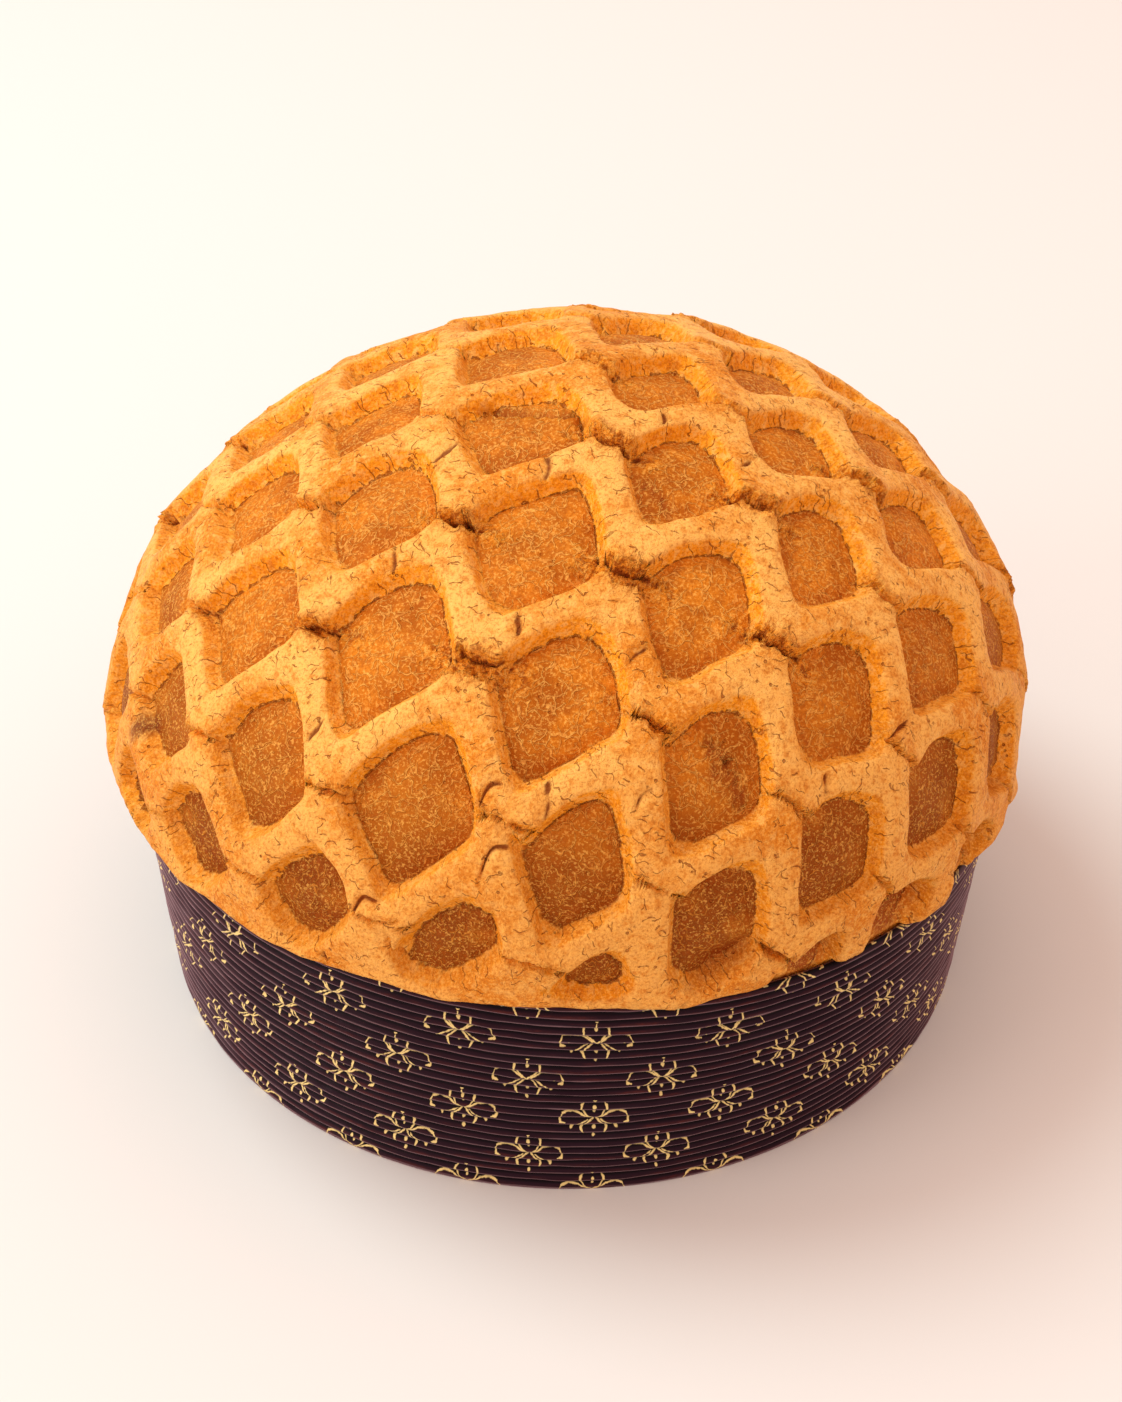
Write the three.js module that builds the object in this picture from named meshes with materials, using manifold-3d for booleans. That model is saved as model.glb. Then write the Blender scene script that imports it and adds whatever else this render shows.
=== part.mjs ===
// A low domed panettone in the fluted paper mould it was baked in.
// Three pieces: the loaf with its baked-on lattice, the wall of the mould and the flat base of the mould.
// Units are millimetres, +Z is up, and the origin is the middle of the underside.
// Angles run round from the front (-Y) to the right (+X).

import * as THREE from 'three';
import { mergeVertices } from 'three/addons/utils/BufferGeometryUtils.js';
import Module from 'manifold-3d';

const wasm = await Module();
wasm.setup();

// Paper mould
const baseRadius = 103;
const rimRadius = 107.5;
const rimHeight = 58.4;
const rimLift = 7.7;          // the rim stands this much above its mean height on its high side
const highSide = -0.89;       // the turn, in radians, at which the rim is highest
const fluteCount = 25;
const fluteDepth = 0.9;
const paperThickness = 0.6;
const lipThickness = 0.9;
const baseThickness = 0.9;
const hemWidth = 12;          // the band folds in by this much over the base
const wallSegments = 48;
const baseSegments = 48;

// The glued lap where the ends of the band meet, at the back
const lapThickness = 0.5;
const lapHalfAngle = 0.1;

// Clearances
const gap = 0.3;
const loafGap = 0.6;
const rimGap = 0.6;

// Loaf
const bulgeRadius = 113.5;
const bulgeHeight = 67.7;
const topHeight = 163.6;
const radiusPower = 1.19;
const heightPower = 0.97;
const bulgeShift = new THREE.Vector2(-0.7, 3.3);
const topShift = new THREE.Vector2(3.7, -5.5);
const neckRows = 3;
const underRows = 4;
const domeRows = 24;
const loafSegments = 72;

// Lattice of dough strips, on a flat map whose distance from the middle is the arc length from the top.
// A crossing (i, j) lies at origin + i*along + j*across + i*i*bendAlong + i*j*twist + j*j*bendAcross,
// and behind the line i - j = straightFrom the strips run on without bending any further.
const lattice = {
  origin: new THREE.Vector2(4.75, -28.7),
  along: new THREE.Vector2(30.5, 19.6),
  across: new THREE.Vector2(4.2, -32.9),
  bendAlong: new THREE.Vector2(-1.03, 0.53),
  twist: new THREE.Vector2(0.84, 1.1),
  bendAcross: new THREE.Vector2(0.49, -0.41),
  straightFrom: 1.5,
};
const latticeCells = 16;
const latticeFirst = -8.5;
const stripHalf = 0.13;       // half the width of a strip's top, as a share of a cell
const stripFoot = 0.19;       // and of its foot
const stripHeight = 4.6;
const hemInside = 13;         // the strip round the lower edge starts this far above the widest ring
const hemProud = 0.4;
const hemDepth = 9;
const hemRows = 4;

const hemUnderside = baseThickness + gap;
const hemTop = hemUnderside + paperThickness;

const crust = new THREE.MeshStandardMaterial({ color: 0xd9924a, roughness: 0.75, metalness: 0 });
const printedPaper = new THREE.MeshStandardMaterial({ color: 0x3a1f2c, roughness: 0.6, metalness: 0 });
const basePaper = new THREE.MeshStandardMaterial({ color: 0x33202a, roughness: 0.8, metalness: 0 });

// Height by which the rim differs from its mean at a turn
function rimOffset(turn) {
  return rimLift * Math.cos(turn - highSide);
}

// Outermost radius of the wall at a height measured on the mean wall
function crestRadius(height) {
  return THREE.MathUtils.mapLinear(height, 0, rimHeight, baseRadius, rimRadius);
}

function innerRadius(height) {
  return crestRadius(height) - fluteDepth - paperThickness;
}

// Turns a profile of Vector2(radius, height) about Z and lets `shape` move each point
function turned(profile, segments, shape = null, start = 0) {
  const geometry = new THREE.LatheGeometry(profile, segments, start);
  geometry.rotateX(Math.PI / 2);
  if (shape) {
    const position = geometry.attributes.position;
    const point = new THREE.Vector3();
    for (let index = 0; index < position.count; index += 1) {
      const segment = Math.floor(index / profile.length) % segments;
      const row = index % profile.length;
      const turn = start + (segment / segments) * 2 * Math.PI;
      shape(point.fromBufferAttribute(position, index), turn, row);
      position.setXYZ(index, point.x, point.y, point.z);
    }
  }
  geometry.computeVertexNormals();
  return geometry;
}

function makeBase() {
  const radius = baseRadius - lipThickness - gap;
  const profile = [
    new THREE.Vector2(0, 0),
    new THREE.Vector2(radius, 0),
    new THREE.Vector2(radius, baseThickness),
    new THREE.Vector2(0, baseThickness),
  ];
  return turned(profile, baseSegments);
}

function makeWall() {
  const lipRadius = baseRadius - lipThickness;
  const profile = [new THREE.Vector2(lipRadius, 0)];
  const pitch = rimHeight / fluteCount;
  for (let flute = 0; flute < fluteCount; flute += 1) {
    const valley = flute * pitch;
    const crest = valley + pitch / 2;
    const valleyDepth = flute === 0 ? fluteDepth / 4 : fluteDepth;
    profile.push(new THREE.Vector2(crestRadius(valley) - valleyDepth, valley));
    profile.push(new THREE.Vector2(crestRadius(crest), crest));
  }
  profile.push(new THREE.Vector2(crestRadius(rimHeight) - fluteDepth / 2, rimHeight));
  const outerRows = profile.length;
  profile.push(new THREE.Vector2(innerRadius(rimHeight), rimHeight));
  profile.push(new THREE.Vector2(innerRadius(hemTop), hemTop));
  profile.push(new THREE.Vector2(lipRadius - hemWidth, hemTop));
  profile.push(new THREE.Vector2(lipRadius - hemWidth, hemUnderside));
  profile.push(new THREE.Vector2(lipRadius, hemUnderside));
  profile.push(new THREE.Vector2(lipRadius, 0));

  const raiseRim = (point, turn, row) => {
    const share = Math.max(0, point.z - hemTop) / (rimHeight - hemTop);
    point.z += share * rimOffset(turn);
    if (row > 0 && row < outerRows && Math.abs(turn - Math.PI) < lapHalfAngle) {
      point.x += lapThickness * Math.sin(turn);
      point.y -= lapThickness * Math.cos(turn);
    }
  };
  return turned(profile, wallSegments, raiseRim, Math.PI / wallSegments);
}

// Outline of the dome from its top down to its widest ring
function domeOutline() {
  const points = [];
  for (let row = domeRows; row >= 0; row -= 1) {
    const angle = (row / domeRows) * (Math.PI / 2);
    const radius = row === domeRows ? 0 : bulgeRadius * Math.cos(angle) ** radiusPower;
    const height = bulgeHeight + (topHeight - bulgeHeight) * Math.sin(angle) ** heightPower;
    points.push(new THREE.Vector2(radius, height));
  }
  return new THREE.SplineCurve(points);
}

const outline = domeOutline();
const outlineLength = outline.getLength();

// Radius, height and outward direction at an arc length from the top; past the widest ring it runs straight down
function outlineAt(arc) {
  if (arc >= outlineLength) {
    const spot = new THREE.Vector2(bulgeRadius, bulgeHeight - (arc - outlineLength));
    return { spot, outward: new THREE.Vector2(1, 0) };
  }
  const tangent = outline.getTangentAt(arc / outlineLength);
  return { spot: outline.getPointAt(arc / outlineLength), outward: new THREE.Vector2(-tangent.y, tangent.x) };
}

// Where the loaf's own middle lies at a height: the dome leans a little off the mould's axis
function middleAt(height) {
  const rise = THREE.MathUtils.clamp((height - bulgeHeight) / (topHeight - bulgeHeight), 0, 1);
  return bulgeShift.clone().lerp(topShift, rise);
}

function crossing(i, j) {
  const past = Math.max(0, i - j - lattice.straightFrom) / 2;
  const p = i - past;
  const q = j + past;
  const { origin, along, across, bendAlong, twist, bendAcross } = lattice;
  return origin.clone()
    .addScaledVector(along, i)
    .addScaledVector(across, j)
    .addScaledVector(bendAlong, p * p + 2 * p * past)
    .addScaledVector(twist, p * q + (q - p) * past)
    .addScaledVector(bendAcross, q * q - 2 * q * past);
}

// Grid lines of one cell: both feet and shoulders of a strip, then the middle of a panel
const cellLines = [-stripFoot, -stripHalf, stripHalf, stripFoot, 0.5];

function gridLine(step) {
  const cell = Math.floor(step / cellLines.length);
  return latticeFirst + 0.5 + cell + cellLines[step % cellLines.length];
}

function isOnStrip(step) {
  const line = step % cellLines.length;
  return line === 1 || line === 2;
}

// A dome with the lattice raised on it, going straight down past its widest ring
function makeLatticeDome() {
  const steps = latticeCells * cellLines.length;
  const geometry = new THREE.BoxGeometry(1, 1, 1, steps, steps, 1);
  const position = geometry.attributes.position;
  const bottomHeight = -400;
  const bottomShare = 0.2;
  for (let index = 0; index < position.count; index += 1) {
    const stepI = Math.round((position.getX(index) + 0.5) * steps);
    const stepJ = Math.round((0.5 - position.getY(index)) * steps);
    const place = crossing(gridLine(stepI), gridLine(stepJ));
    if (position.getZ(index) < 0) {
      position.setXYZ(index, place.x * bottomShare, place.y * bottomShare, bottomHeight);
    } else {
      const arc = place.length();
      const { spot, outward } = outlineAt(arc);
      const sunk = isOnStrip(stepI) || isOnStrip(stepJ) ? 0 : stripHeight;
      const middle = middleAt(spot.y);
      const reach = (spot.x - sunk * outward.x) / arc;
      position.setXYZ(
        index,
        middle.x + place.x * reach,
        middle.y + place.y * reach,
        spot.y - sunk * outward.y,
      );
    }
  }
  return geometry;
}

// The strip that runs round the lower edge of the dome and closes the lattice
function makeHemStrip() {
  const profile = [];
  const reach = hemInside + (bulgeHeight - rimHeight);
  for (let row = hemRows; row >= 0; row -= 1) {
    const { spot, outward } = outlineAt(outlineLength - hemInside + (row / hemRows) * reach);
    profile.push(spot.clone().addScaledVector(outward, hemProud));
  }
  const shoulder = profile.at(-1);
  profile.push(new THREE.Vector2(shoulder.x - hemDepth, shoulder.y - hemDepth / 2));
  profile.push(new THREE.Vector2(bulgeRadius - hemDepth, profile[0].y));
  profile.push(profile[0].clone());
  const followDome = (point) => {
    const middle = middleAt(point.z);
    point.x += middle.x;
    point.y += middle.y;
  };
  return turned(profile, loafSegments, followDome);
}

// The part of the loaf inside the mould, spreading over the rim, and open room above that for the dome
function makeBody() {
  const hemClear = baseRadius - lipThickness - hemWidth - gap;
  const neckBottom = hemTop + gap;
  const neckTop = rimHeight + rimGap;
  const brimRadius = bulgeRadius + 2;
  const brimHeight = bulgeHeight + 3;
  const profile = [
    new THREE.Vector2(0, hemUnderside),
    new THREE.Vector2(hemClear, hemUnderside),
    new THREE.Vector2(hemClear, neckBottom),
  ];
  for (let row = 0; row <= neckRows; row += 1) {
    const height = THREE.MathUtils.lerp(neckBottom, neckTop, row / neckRows);
    profile.push(new THREE.Vector2(innerRadius(height) - loafGap, height));
  }
  const neckRadius = profile.at(-1).x;
  for (let row = 1; row <= underRows; row += 1) {
    const angle = (row / underRows) * (Math.PI / 2);
    const radius = THREE.MathUtils.lerp(neckRadius, brimRadius, Math.sin(angle));
    profile.push(new THREE.Vector2(radius, THREE.MathUtils.lerp(brimHeight, neckTop, Math.cos(angle))));
  }
  profile.push(new THREE.Vector2(brimRadius + hemDepth, topHeight + hemDepth));
  profile.push(new THREE.Vector2(0, topHeight + hemDepth));
  const followRim = (point, turn) => {
    const share = THREE.MathUtils.clamp((point.z - neckBottom) / (neckTop - neckBottom), 0, 1);
    const over = THREE.MathUtils.clamp((point.z - neckTop) / (brimHeight - neckTop), 0, 1);
    point.z += share * (1 - over) * rimOffset(turn);
    point.x += over * bulgeShift.x;
    point.y += over * bulgeShift.y;
  };
  return turned(profile, loafSegments, followRim);
}

function toSolid(geometry) {
  geometry.deleteAttribute('normal');
  geometry.deleteAttribute('uv');
  const merged = mergeVertices(geometry, 1e-5);
  return new wasm.Manifold(new wasm.Mesh({
    numProp: 3,
    vertProperties: merged.attributes.position.array,
    triVerts: new Uint32Array(merged.index.array),
  }));
}

function toGeometry(solid) {
  const mesh = solid.getMesh();
  const geometry = new THREE.BufferGeometry();
  geometry.setAttribute('position', new THREE.BufferAttribute(mesh.vertProperties, 3));
  geometry.setIndex(new THREE.BufferAttribute(mesh.triVerts, 1));
  geometry.computeVertexNormals();
  return geometry;
}

function makeLoaf() {
  const dome = toSolid(makeLatticeDome()).add(toSolid(makeHemStrip()));
  return toGeometry(dome.intersect(toSolid(makeBody())));
}

function piece(name, geometry, material) {
  const mesh = new THREE.Mesh(geometry, material);
  mesh.name = name;
  return mesh;
}

const panettone = new THREE.Group();
panettone.add(piece('mould_base', makeBase(), basePaper));
panettone.add(piece('mould_wall', makeWall(), printedPaper));
panettone.add(piece('loaf', makeLoaf(), crust));

export default panettone;
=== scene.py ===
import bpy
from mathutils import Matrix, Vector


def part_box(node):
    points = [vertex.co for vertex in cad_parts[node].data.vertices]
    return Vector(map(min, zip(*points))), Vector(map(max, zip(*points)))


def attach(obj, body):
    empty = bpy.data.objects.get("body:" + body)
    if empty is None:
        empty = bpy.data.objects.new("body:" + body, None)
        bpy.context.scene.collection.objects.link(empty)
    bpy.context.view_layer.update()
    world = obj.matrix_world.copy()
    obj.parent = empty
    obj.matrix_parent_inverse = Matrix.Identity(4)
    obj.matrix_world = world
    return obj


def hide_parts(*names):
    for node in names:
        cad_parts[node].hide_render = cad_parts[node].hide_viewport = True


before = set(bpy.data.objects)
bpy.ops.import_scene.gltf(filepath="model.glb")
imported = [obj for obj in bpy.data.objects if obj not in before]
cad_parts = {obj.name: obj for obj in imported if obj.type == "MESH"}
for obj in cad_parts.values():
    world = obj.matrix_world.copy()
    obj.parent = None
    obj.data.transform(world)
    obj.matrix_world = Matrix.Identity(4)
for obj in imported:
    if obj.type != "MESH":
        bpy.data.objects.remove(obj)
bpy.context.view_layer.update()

import math

import bmesh
import bpy
import numpy as np
from mathutils import Quaternion, Vector

mm = 0.001  # shapes are worked out in millimetres and written in metres

# the highest corner of each piece in the shared frame
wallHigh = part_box("mould_wall")[1]
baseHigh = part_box("mould_base")[1]
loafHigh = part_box("loaf")[1]


def blendStep(low, high, value):
    share = np.clip((value - low) / (high - low), 0, 1)
    return share * share * (3 - 2 * share)


def hashed(cellX, cellY, cellZ, seed):
    mixed = cellX * 374761393 + cellY * 668265263 + cellZ * 2147483647 + seed * 1274126177
    mixed = (mixed ^ (mixed >> 13)) * 1274126177
    mixed = (mixed ^ (mixed >> 16)) & 0xFFFFFF
    return mixed / 0x7FFFFF - 1


# -1 to 1, smooth over the given size
def lumps(points, size, seed):
    scaled = points / size
    corner = np.floor(scaled).astype(np.int64)
    part = scaled - corner
    part = part * part * (3 - 2 * part)
    total = 0
    for stepX in (0, 1):
        for stepY in (0, 1):
            for stepZ in (0, 1):
                weight = (
                    (part[..., 0] if stepX else 1 - part[..., 0])
                    * (part[..., 1] if stepY else 1 - part[..., 1])
                    * (part[..., 2] if stepZ else 1 - part[..., 2])
                )
                total = total + weight * hashed(
                    corner[..., 0] + stepX, corner[..., 1] + stepY, corner[..., 2] + stepZ, seed)
    return total


def waves(line, size, seed):
    points = np.stack([line, np.full_like(line, 0.5), np.full_like(line, 0.5)], axis=-1)
    return lumps(points * np.array([1, size, size]), size, seed)


# several sizes of lumps added up, from the height, size and seed of each
def ripples(points, layers):
    total = 0
    for height, size, seed in layers:
        total = total + height * lumps(points, size, seed)
    return total


def finished(name, mesh, material, node):
    mesh.materials.clear()
    mesh.materials.append(material)
    mesh.polygons.foreach_set("use_smooth", [True] * len(mesh.polygons))
    piece = bpy.data.objects.new(name, mesh)
    bpy.context.scene.collection.objects.link(piece)
    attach(piece, "root")
    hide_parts(node)
    return piece


# sets a socket to a value, or links it to another socket
def plug(tree, value, socket):
    if isinstance(value, bpy.types.NodeSocket):
        tree.links.new(value, socket)
    elif value is not None:
        socket.default_value = value


def maths(tree, operation, *values):
    node = tree.nodes.new("ShaderNodeMath")
    node.operation = operation
    for value, socket in zip(values, node.inputs):
        plug(tree, value, socket)
    return node.outputs[0]


def vectorMaths(tree, operation, *values):
    node = tree.nodes.new("ShaderNodeVectorMath")
    node.operation = operation
    for value, socket in zip(values, node.inputs):
        plug(tree, value, socket)
    return node.outputs["Value"] if operation in ("DOT_PRODUCT", "LENGTH") else node.outputs["Vector"]


def scaledVector(tree, vector, factor):
    result = vectorMaths(tree, "SCALE", vector)
    plug(tree, factor, result.node.inputs["Scale"])
    return result


def ramp(tree, value, low, high, toLow=0.0, toHigh=1.0):
    node = tree.nodes.new("ShaderNodeMapRange")
    node.interpolation_type = "SMOOTHSTEP"
    for value, socket in zip((value, low, high, toLow, toHigh), node.inputs):
        plug(tree, value, socket)
    return node.outputs[0]


def noise(tree, place, scale, detail=2.0, roughness=0.5, stretch=None):
    if stretch:
        mapping = tree.nodes.new("ShaderNodeMapping")
        mapping.inputs["Scale"].default_value = stretch
        tree.links.new(place, mapping.inputs["Vector"])
        place = mapping.outputs[0]
    node = tree.nodes.new("ShaderNodeTexNoise")
    plug(tree, place, node.inputs["Vector"])
    plug(tree, scale, node.inputs["Scale"])
    plug(tree, detail, node.inputs["Detail"])
    plug(tree, roughness, node.inputs["Roughness"])
    return node.outputs["Fac"]


def tint(tree, factor, first, second):
    node = tree.nodes.new("ShaderNodeMix")
    node.data_type = "RGBA"
    plug(tree, factor, node.inputs[0])
    plug(tree, first, node.inputs[6])
    plug(tree, second, node.inputs[7])
    return node.outputs[2]


def attribute(tree, name):
    node = tree.nodes.new("ShaderNodeAttribute")
    node.attribute_name = name
    return node.outputs["Fac"]


def objectPlace(tree):
    return tree.nodes.new("ShaderNodeTexCoord").outputs["Object"]


def bump(tree, height, strength, distance):
    node = tree.nodes.new("ShaderNodeBump")
    node.inputs["Strength"].default_value = strength
    node.inputs["Distance"].default_value = distance
    plug(tree, height, node.inputs["Height"])
    return node.outputs[0]


def newMaterial(name, **fixed):
    material = bpy.data.materials.new(name)
    material.use_nodes = True
    tree = material.node_tree
    shader = tree.nodes["Principled BSDF"]
    for socket, value in fixed.items():
        shader.inputs[socket].default_value = value
    return material, tree, shader


def newGroup(name, inputs, outputs):
    group = bpy.data.node_groups.new(name, "ShaderNodeTree")
    for socket, kind, value in inputs:
        made = group.interface.new_socket(socket, in_out="INPUT", socket_type=kind)
        if value is not None:
            made.default_value = value
    for socket, kind in outputs:
        group.interface.new_socket(socket, in_out="OUTPUT", socket_type=kind)
    return group, group.nodes.new("NodeGroupInput").outputs, group.nodes.new("NodeGroupOutput").inputs


def useGroup(tree, group, **values):
    node = tree.nodes.new("ShaderNodeGroup")
    node.node_tree = group
    for socket, value in values.items():
        plug(tree, value, node.inputs[socket])
    return node.outputs


# places in metres, but for the camera's, which is in millimetres; angles in degrees
studio = {
    "camera": (4.96, -468.9, 414.4),
    "pitch": 36.7,
    "yaw": -0.79,
    "roll": 0.4,
    "lens": 59.8,
    "floorSize": 6.0,
    "floorColour": (0.80, 0.80, 0.78, 1),
    "floorRoughness": 0.85,
    "skyColour": (1.0, 0.72, 0.62, 1),
    "skyStrength": 1.0,
    "lampAim": (0, 0, 0.06),
    "keyPlace": (-0.91, 0.35, 1.68),
    "keySize": 1.0,
    "keyPower": 18.8,
    "keyColour": (0.76, 0.97, 1.0),
    "fillPlace": (-1.15, -0.60, 0.52),
    "fillSize": 0.8,
    "fillPower": 5.0,
    "fillColour": (1.0, 0.96, 0.93),
}


def makeCamera():
    camera = bpy.data.objects.new("camera", bpy.data.cameras.new("camera"))
    bpy.context.scene.collection.objects.link(camera)
    pitch, yaw = math.radians(studio["pitch"]), math.radians(studio["yaw"])
    look = Vector((math.sin(yaw) * math.cos(pitch), math.cos(yaw) * math.cos(pitch), -math.sin(pitch)))
    turn = look.to_track_quat("-Z", "Y") @ Quaternion((0, 0, 1), math.radians(studio["roll"]))
    camera.rotation_mode = "QUATERNION"
    camera.rotation_quaternion = turn
    camera.location = Vector(studio["camera"]) * mm
    camera.data.lens = studio["lens"]
    camera.data.sensor_width = 36
    bpy.context.scene.camera = camera


def makeLight(name, place, size, power, colour):
    light = bpy.data.lights.new(name, "AREA")
    light.shape = "DISK"
    light.size = size
    light.energy = power
    light.color = colour
    lamp = bpy.data.objects.new(name, light)
    bpy.context.scene.collection.objects.link(lamp)
    lamp.location = place
    lamp.visible_camera = False
    lamp.rotation_mode = "QUATERNION"
    lamp.rotation_quaternion = (Vector(studio["lampAim"]) - Vector(place)).to_track_quat("-Z", "Y")


def makeStudio():
    makeCamera()
    makeLight("key", studio["keyPlace"], studio["keySize"], studio["keyPower"], studio["keyColour"])
    makeLight("fill", studio["fillPlace"], studio["fillSize"], studio["fillPower"], studio["fillColour"])
    world = bpy.data.worlds.new("sky")
    world.use_nodes = True
    world.node_tree.nodes["Background"].inputs["Color"].default_value = studio["skyColour"]
    world.node_tree.nodes["Background"].inputs["Strength"].default_value = studio["skyStrength"]
    bpy.context.scene.world = world
    bpy.context.scene.view_settings.view_transform = "Standard"
    bm = bmesh.new()
    bmesh.ops.create_grid(bm, x_segments=1, y_segments=1, size=studio["floorSize"] / 2)
    mesh = bpy.data.meshes.new("floor")
    bm.to_mesh(mesh)
    bm.free()
    floor = bpy.data.objects.new("floor", mesh)
    bpy.context.scene.collection.objects.link(floor)
    look = {"Base Color": studio["floorColour"], "Roughness": studio["floorRoughness"]}
    mesh.materials.append(newMaterial("floorPaper", **look)[0])


makeStudio()
print("studio done")


# what the wall, the base and the loaf share of the mould, in millimetres
mould = {
    "baseRadius": 103.0,
    "meanRadius": 105.0,
    "rimRadius": 107.5,
    "rimLift": 7.7,      # the rim stands this much above its mean height on its high side
    "highSide": -0.89,   # the turn at which the rim is highest, from the front (-Y) round to the right (+X)
    "paper": 1.5,
    "lip": 0.9,
    "hemWidth": 12.0,
    "hemPaper": 0.6,
    "gap": 0.3,
    "flutes": 25,
}
mould["rimHeight"] = wallHigh.z / mm - mould["rimLift"]
mould["hemTop"] = baseHigh.z / mm + mould["gap"] + mould["hemPaper"]


def rimOffset(turn):
    return mould["rimLift"] * np.cos(turn - mould["highSide"])


def crestRadius(height):
    share = height / mould["rimHeight"]
    return mould["baseRadius"] + (mould["rimRadius"] - mould["baseRadius"]) * share


# The loaf. Its lattice lies on a flat map, whose distance from the middle is the arc length from the top.
# Lattice numbers i and j count the strips to the right and towards the front.
loaf = {
    "bulgeRadius": 113.5,
    "bulgeHeight": 67.7,
    "topHeight": loafHigh.z / mm,
    "radiusPower": 1.19,
    "heightPower": 0.97,
    "bulgeShift": (-0.7, 3.3),
    "topShift": (3.7, -5.5),
    "underLength": 14.0,
    "rimGap": 0.6,
    "neckGap": 0.6,
    "insideWall": 2.4,     # from the crests of the wall to the loaf inside it
    "undersideRadius": 60.0,
    "origin": (4.75, -28.7),
    "along": (30.5, 19.6),
    "across": (4.2, -32.9),
    "bendAlong": (-1.03, 0.53),
    "twist": (0.84, 1.1),
    "bendAcross": (0.49, -0.41),
    "straightFrom": 1.5,
    "crowdFrom": -2.2,     # the left columns sit closer together, by crowdBy in all
    "crowdTo": -4.6,
    "crowdBy": (13.0, 12.5),
    "strayReach": 0.3,
    "rangeI": (-6, 8),     # lattice numbers of the mesh, and of its closer part towards the camera
    "rangeJ": (-8, 6),
    "frontI": (-4, 4),
    "frontJ": (-2, 5),
    "linesInFront": 33,    # lines of the mesh to a cell
    "linesBehind": 25,
    "topShare": 0.085,     # half a strip's top and half its foot, as shares of a cell
    "footShare": 0.17,
    "lineSpacing": (0.65, 0.5, 1.45),  # of the lines on a strip's top, on its walls and on a panel
    "stripTop": 2.5,
    "stripFoot": 4.6,
    "wider": 0.5,          # strips that run down the map are this much wider on each side
    "stripHeight": 3.8,
    "rightCorner": 3.5,
    "topCorner": 10.0,
    "footCorner": 7.5,
    "leftCorner": 9.0,
    "hemCorner": 5.0,
    "cell": 34.0,          # side of a cell of the lattice
    "rise": (2.5, -1.0),   # how far a strip is carried up at its left and right ends, unless stated
    "drift": (-1.5, 0.0),  # how far a strip stands to the right at its top and bottom ends, unless stated
    "hemInside": -3.0,
    "hemFrom": 0.32,       # no hem between these turns, where the strips run on down to the rim
    "hemTo": 1.45,
    "hemLength": 26.0,
    "bareDepth": 3.0,
    "wander": 1.1,
    "footGroove": 0.6,
}

# heights, sizes and seeds of the uneven parts
uneven = {
    "mapX": ((loaf["wander"], 26.0, 11), (0.35, 7.0, 12)),
    "mapY": ((loaf["wander"], 26.0, 13), (0.35, 7.0, 14)),
    "hem": ((1.6, 24.0, 21),),
    "edge": ((0.3, 11.0, 22), (0.14, 2.6, 23)),
    "crust": ((0.5, 17.0, 31), (0.25, 5.0, 32)),
    "grain": ((0.16, 2.0, 33),),
    "skirt": ((1.1, 13.0, 34),),
    "crease": ((0.5, 2.2, 41), (0.8, 6.0, 42)),
    "burn": ((1.5, 4.0, 43),),
}

# how far the crossings have torn open, in millimetres
tears = {
    (0, 1): 4.4, (-1, 1): 4.8, (0, 0): 2.6, (1, 1): 3.2, (-1, 0): 2.2, (1, 2): 2.6, (-2, 0): 2.0,
    (2, 1): 2.4, (-3, -1): 1.5, (0, 2): 1.5, (1, 3): 0.9, (2, 2): 1.4, (-2, 1): 1.0, (-3, 0): 0.9,
    (2, 3): 0.7, (-1, 2): 0.8, (-2, 2): 0.9, (2, 4): 0.5, (0, 3): 0.6, (-1, -1): 0.8, (1, 0): 1.4,
    (0, -1): 1.8, (3, 2): 1.0, (3, 3): 0.6, (2, 0): 1.2,
    (-4, -2): 0.5, (-3, -2): 0.7, (-4, -1): 0.6, (-4, 0): 0.7, (-5, -1): 0.5, (-5, 0): 0.5, (-4, 1): 0.6,
}

# crossings that sit off the even lattice, in millimetres of the map
strays = {
    (-2, 1): (-2.5, -4.0), (0, 0): (1.0, 2.0), (0, -1): (-0.5, -3.0), (-1, -1): (-3.0, 0.5),
    (1, 1): (1.0, 2.5), (-1, 3): (2.0, 2.0), (2, 3): (-0.5, -2.5), (0, 2): (1.5, 1.0),
    (-3, 0): (-1.7, -1.1), (-3, -1): (-1.7, -1.1),
}

# how far the strip to the right of a crossing is carried up at its left and right ends, in millimetres
rises = {
    (-2, 2): (-4.5, -5.5), (-1, 3): (-5.5, -6.0), (-1, 2): (-3.3, -5.0), (0, 2): (-1.5, -2.0),
    (0, 3): (-1.5, -4.5), (0, 4): (-3.0, -4.5), (1, 3): (-0.5, -3.0), (1, 4): (-4.0, -4.5),
    (2, 4): (-1.0, -3.5), (2, 3): (0.5, -1.0), (-2, 1): (2.5, -2.0), (-1, 1): (2.5, -1.0),
    (-2, 0): (4.0, -0.5), (-3, 0): (4.5, -0.5), (-3, 1): (0.5, -1.0), (1, 1): (3.0, -1.0),
    (0, 1): (3.0, -1.0), (0, 0): (2.5, 0.0), (-1, 0): (4.5, -0.5), (-1, -1): (3.5, -0.5),
    (-2, -1): (4.5, -0.5), (-3, -1): (4.5, -0.5), (-3, -2): (4.5, -0.5), (-2, -2): (4.0, -0.5),
    (-4, -1): (4.0, -0.5), (-4, 0): (4.0, -0.5), (-4, -2): (4.0, -0.5),
}

# how far the strip below a crossing stands to the right at its top and bottom ends, in millimetres
drifts = {
    (1, 3): (0.7, 2.5), (0, 3): (0.5, 2.0), (2, 3): (0.5, 2.2), (3, 3): (1.5, 3.5),
    (-3, -1): (-2.5, -2.5), (-3, 0): (-3.0, -2.0), (-2, 0): (-2.7, -1.0),
    (-4, 0): (-3.0, -2.0), (-4, -1): (-3.0, -2.0),
}

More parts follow.
